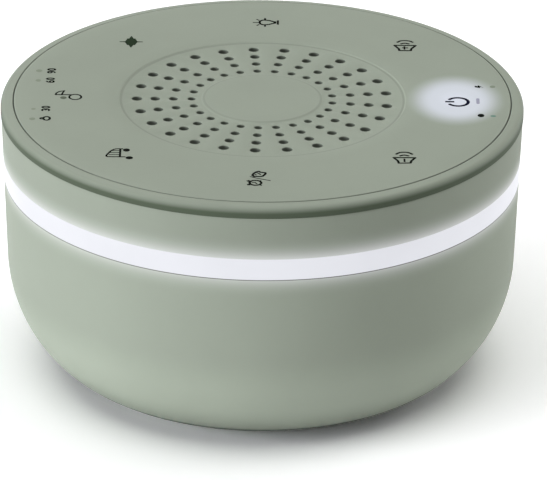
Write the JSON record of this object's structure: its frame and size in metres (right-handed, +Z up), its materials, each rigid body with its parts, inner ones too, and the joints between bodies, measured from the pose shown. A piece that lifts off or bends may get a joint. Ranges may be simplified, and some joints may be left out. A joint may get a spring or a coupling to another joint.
{
  "type": "bedside sound machine",
  "caption": "Round bedside sound machine: bowl-shaped body, glowing band below the rim, touch keys and a perforated top over an upward loudspeaker.",
  "frame": {"origin": "on the floor, at the centre of the foot ring", "axes": "+Z up through the top panel, +X towards the power key (the user's side), +Y towards the charging socket at the back of the pictured view"},
  "size_m": [0.12, 0.12, 0.0655],
  "materials": {
    "sage_shell": "fine matt texture",
    "band_diffuser": "satin, translucent",
    "foot_rubber": "matt",
    "screw_steel": "satin",
    "grille_cloth": "fine weave",
    "foam": "open foam",
    "basket_paint": "satin black",
    "plate_steel": "zinc plated",
    "ferrite": "matt",
    "cone_paper": "pressed pulp",
    "former_foil": "satin",
    "coil_copper": "enamelled wire",
    "surround_rubber": "satin",
    "spider_cloth": "resin-dipped weave",
    "terminal_board": "fibre board",
    "guide_black": "matt",
    "board_green": "solder mask",
    "chip_black": "matt",
    "light_lens": "moulded lens",
    "power_glow": "translucent",
    "frame_white": "satin",
    "plug_white": "satin",
    "cell_wrap": "shrink sleeve",
    "lead_red": "insulation",
    "ribbon_grey": "flat cable",
    "socket_metal": "nickel plated"
  },
  "bodies": {
    "housing": {"top_panel": "sage_shell", "top_rim": "sage_shell", "upper_wall": "sage_shell", "lower_housing": "sage_shell", "base_cover": "sage_shell", "light_band": "band_diffuser", "foot_ring": "foot_rubber", "base_screws": "screw_steel", "housing_screws": "screw_steel", "wall_screws": "screw_steel", "speaker_screws": "screw_steel", "control_board_screws": "screw_steel", "main_board_screws": "screw_steel", "battery_strap_screws": "screw_steel", "grille_cloth": "grille_cloth", "speaker_gasket": "foam", "speaker_frame": "basket_paint", "speaker_terminal": "terminal_board", "speaker_top_plate": "plate_steel", "speaker_magnet": "ferrite", "speaker_yoke": "plate_steel", "icon_guide": "guide_black", "control_board": "board_green", "touch_pads": "foam", "power_diffuser": "power_glow", "power_lights": "light_lens", "indicator_lights": "light_lens", "control_plug": "plug_white", "control_chip": "chip_black", "light_frame": "frame_white", "light_strip": "frame_white", "band_lights": "light_lens", "band_lead": "lead_red", "battery_cell": "cell_wrap", "battery_pads": "foam", "battery_strap": "frame_white", "battery_lead": "lead_red", "main_board": "board_green", "main_chips": "chip_black", "main_plugs": "plug_white", "board_ribbon": "ribbon_grey", "speaker_leads": "lead_red", "socket_shell": "socket_metal", "socket_tongue": "chip_black"},
    "cone_assembly": {"speaker_cone": "cone_paper", "dust_cap": "cone_paper", "coil_former": "former_foil", "voice_coil": "coil_copper", "cone_surround": "surround_rubber", "coil_spider": "spider_cloth"}
  },
  "joints": [
    {"name": "cone_stroke", "type": "slide", "parent": "housing", "child": "cone_assembly", "axis": [0, 0, 1], "range_m": [-0.0012, 0.0012], "stiffness_N_per_m": 3000, "deforming": ["cone_surround", "coil_spider"]}
  ]
}
